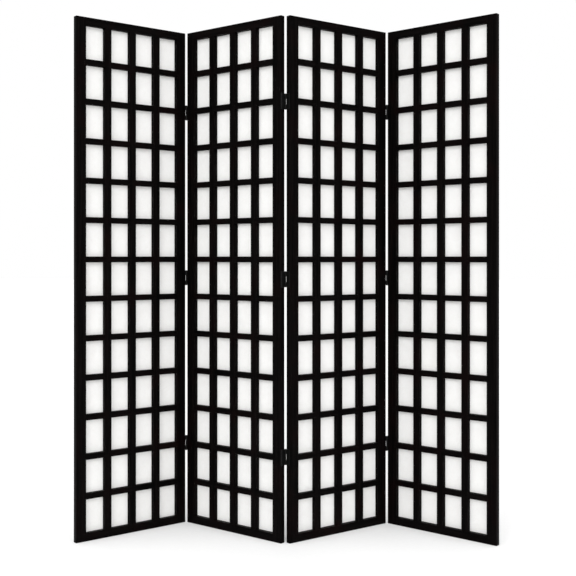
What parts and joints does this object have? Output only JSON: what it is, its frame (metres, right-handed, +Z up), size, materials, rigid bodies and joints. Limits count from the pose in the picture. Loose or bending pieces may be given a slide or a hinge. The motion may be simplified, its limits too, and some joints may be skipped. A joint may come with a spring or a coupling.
{
  "type": "folding screen",
  "caption": "Free-standing folding screen of hinged wooden lattice panels backed with white paper; each fold closes either way on two-way hinges.",
  "frame": {"origin": "on the floor, below the middle of the bounding box of the screen as it stands in its zigzag", "axes": "+X along the screen to the right as seen from its lattice side, +Y towards its paper side, +Z up"},
  "size_m": [1.4358, 0.2984, 1.784],
  "materials": {
    "frame_wood": "black satin lacquer over fine straight grain",
    "lattice_wood": "black satin lacquer over fine straight grain",
    "bead_wood": "black satin lacquer, mitred thin strips",
    "shoji_paper": "white translucent paper with short pressed fibres, matt",
    "hinge_leaf_metal": "blackened steel, low sheen",
    "hinge_link_metal": "blackened steel, low sheen, worn brighter at the knuckles"
  },
  "bodies": {
    "panel_1": {"panel_1_left_stile": "frame_wood", "panel_1_right_stile": "frame_wood", "panel_1_bottom_rail": "frame_wood", "panel_1_top_rail": "frame_wood", "panel_1_uprights": "lattice_wood", "panel_1_crossbars": "lattice_wood", "panel_1_paper": "shoji_paper", "panel_1_beads": "bead_wood", "fold_1_lower_hinge_left_leaf": "hinge_leaf_metal", "fold_1_middle_hinge_left_leaf": "hinge_leaf_metal", "fold_1_upper_hinge_left_leaf": "hinge_leaf_metal"},
    "panel_2": {"panel_2_left_stile": "frame_wood", "panel_2_right_stile": "frame_wood", "panel_2_bottom_rail": "frame_wood", "panel_2_top_rail": "frame_wood", "panel_2_uprights": "lattice_wood", "panel_2_crossbars": "lattice_wood", "panel_2_paper": "shoji_paper", "panel_2_beads": "bead_wood", "fold_1_lower_hinge_right_leaf": "hinge_leaf_metal", "fold_1_middle_hinge_right_leaf": "hinge_leaf_metal", "fold_1_upper_hinge_right_leaf": "hinge_leaf_metal", "fold_2_lower_hinge_left_leaf": "hinge_leaf_metal", "fold_2_middle_hinge_left_leaf": "hinge_leaf_metal", "fold_2_upper_hinge_left_leaf": "hinge_leaf_metal"},
    "panel_3": {"panel_3_left_stile": "frame_wood", "panel_3_right_stile": "frame_wood", "panel_3_bottom_rail": "frame_wood", "panel_3_top_rail": "frame_wood", "panel_3_uprights": "lattice_wood", "panel_3_crossbars": "lattice_wood", "panel_3_paper": "shoji_paper", "panel_3_beads": "bead_wood", "fold_2_lower_hinge_right_leaf": "hinge_leaf_metal", "fold_2_middle_hinge_right_leaf": "hinge_leaf_metal", "fold_2_upper_hinge_right_leaf": "hinge_leaf_metal", "fold_3_lower_hinge_left_leaf": "hinge_leaf_metal", "fold_3_middle_hinge_left_leaf": "hinge_leaf_metal", "fold_3_upper_hinge_left_leaf": "hinge_leaf_metal"},
    "panel_4": {"panel_4_left_stile": "frame_wood", "panel_4_right_stile": "frame_wood", "panel_4_bottom_rail": "frame_wood", "panel_4_top_rail": "frame_wood", "panel_4_uprights": "lattice_wood", "panel_4_crossbars": "lattice_wood", "panel_4_paper": "shoji_paper", "panel_4_beads": "bead_wood", "fold_3_lower_hinge_right_leaf": "hinge_leaf_metal", "fold_3_middle_hinge_right_leaf": "hinge_leaf_metal", "fold_3_upper_hinge_right_leaf": "hinge_leaf_metal"},
    "fold_1_links": {"fold_1_lower_hinge_link": "hinge_link_metal", "fold_1_middle_hinge_link": "hinge_link_metal", "fold_1_upper_hinge_link": "hinge_link_metal"},
    "fold_2_links": {"fold_2_lower_hinge_link": "hinge_link_metal", "fold_2_middle_hinge_link": "hinge_link_metal", "fold_2_upper_hinge_link": "hinge_link_metal"},
    "fold_3_links": {"fold_3_lower_hinge_link": "hinge_link_metal", "fold_3_middle_hinge_link": "hinge_link_metal", "fold_3_upper_hinge_link": "hinge_link_metal"}
  },
  "joints": [
    {"name": "fold_1_front_pins", "type": "hinge", "parent": "fold_1_links", "child": "panel_1", "pos_m": [-0.36532, 0.12936, 0.892], "axis": [0, 0, 1], "range_deg": [-77, 103]},
    {"name": "fold_1_back_pins", "type": "hinge", "parent": "panel_2", "child": "fold_1_links", "pos_m": [-0.35193, 0.14681, 0.892], "axis": [0, 0, 1], "range_deg": [-180, 0]},
    {"name": "fold_2_front_pins", "type": "hinge", "parent": "fold_2_links", "child": "panel_2", "pos_m": [-0.01339, -0.14069, 0.892], "axis": [0, 0, -1], "range_deg": [-180, 0]},
    {"name": "fold_2_back_pins", "type": "hinge", "parent": "fold_2_links", "child": "panel_3", "pos_m": [0, -0.12323, 0.892], "axis": [0, 0, 1], "range_deg": [-75, 105]},
    {"name": "fold_3_front_pins", "type": "hinge", "parent": "panel_3", "child": "fold_3_links", "pos_m": [0.36532, 0.12936, 0.892], "axis": [0, 0, -1], "range_deg": [-77, 103]},
    {"name": "fold_3_back_pins", "type": "hinge", "parent": "fold_3_links", "child": "panel_4", "pos_m": [0.37932, 0.14634, 0.892], "axis": [0, 0, -1], "range_deg": [-180, 0]}
  ]
}
